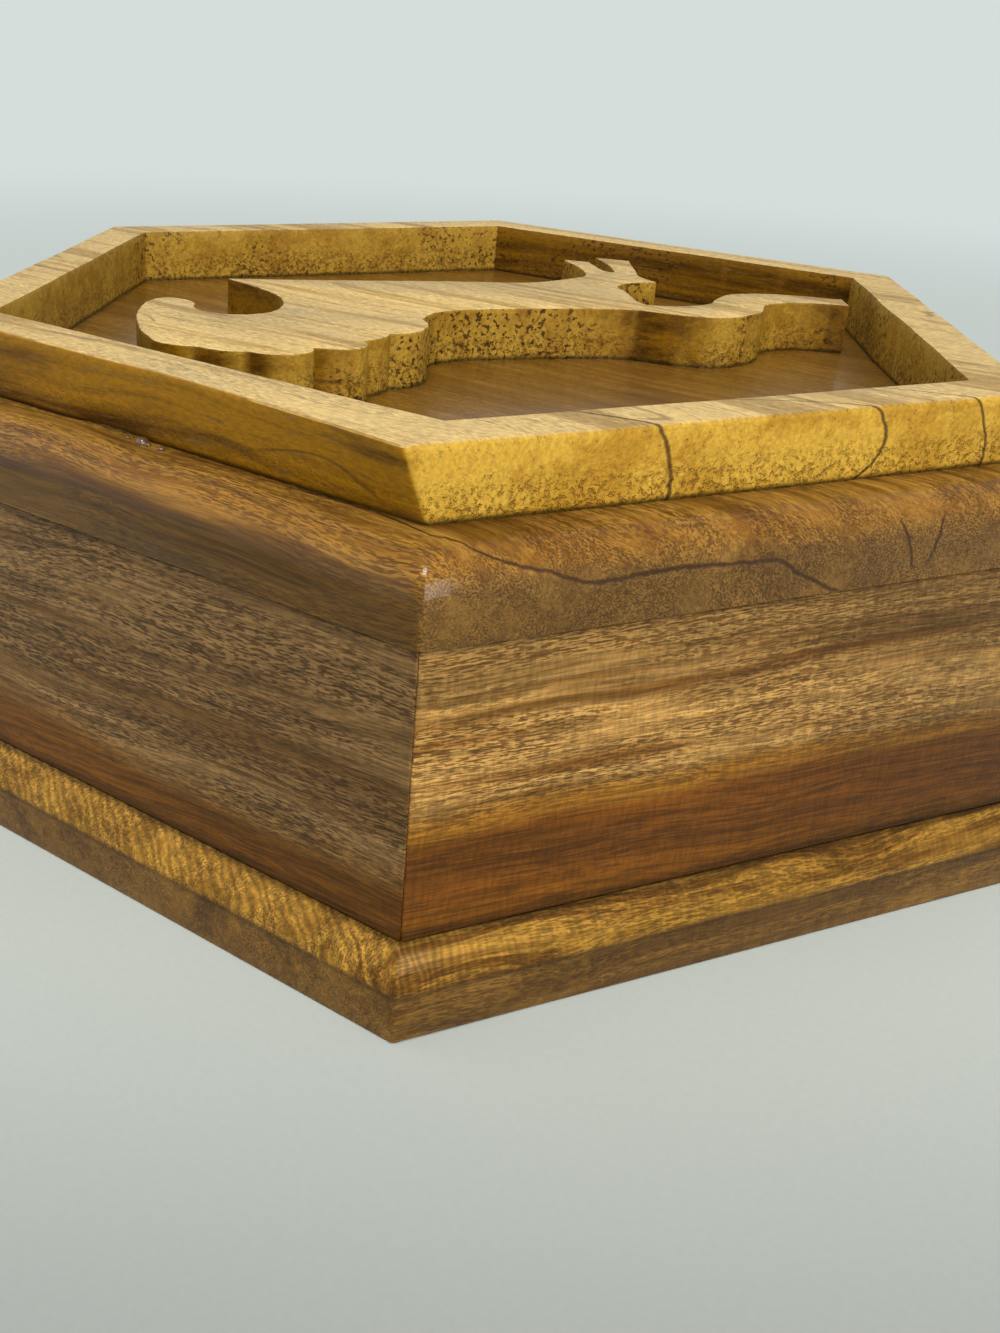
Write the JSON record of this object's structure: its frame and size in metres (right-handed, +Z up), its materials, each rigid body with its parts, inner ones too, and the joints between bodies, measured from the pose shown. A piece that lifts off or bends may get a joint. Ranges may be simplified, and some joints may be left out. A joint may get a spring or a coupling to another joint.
{
  "type": "hexagonal dice box",
  "caption": "Hexagonal wooden dice box with a moulded base, mitred walls, a felt floor and a hinged lid that carries a raised rim and a rearing horse figure.",
  "frame": {"origin": "middle of the base board's underside", "axes": "+Z up, +Y towards the hinged side, +X through two of the six corners"},
  "size_m": [0.2108, 0.1867, 0.075],
  "materials": {
    "base_wood": "satin lacquer over figured brown-gold hardwood",
    "wall_wood": "satin lacquer over brown hardwood",
    "lid_wood": "satin lacquer over brown hardwood with dark zone lines",
    "spalted_wood": "light satin lacquer over pale spalted wood",
    "felt": "short wool felt",
    "hinge_brass": "satin brass"
  },
  "bodies": {
    "box": {"base_board": "base_wood", "wall_front": "wall_wood", "wall_front_right": "wall_wood", "wall_back_right": "wall_wood", "wall_back": "wall_wood", "wall_back_left": "wall_wood", "wall_front_left": "wall_wood", "floor_felt": "felt", "hinge_left_box_leaf": "hinge_brass", "hinge_left_pin": "hinge_brass", "hinge_right_box_leaf": "hinge_brass", "hinge_right_pin": "hinge_brass", "box_screws": "hinge_brass"},
    "lid": {"lid_panel": "lid_wood", "lid_rim": "spalted_wood", "lid_horse": "spalted_wood", "hinge_left_lid_leaf": "hinge_brass", "hinge_right_lid_leaf": "hinge_brass", "lid_screws": "hinge_brass"}
  },
  "joints": [
    {"name": "lid_hinge", "type": "hinge", "parent": "box", "child": "lid", "pos_m": [0, 0.0913, 0.0535], "axis": [-1, 0, 0], "range_deg": [0, 95]}
  ]
}
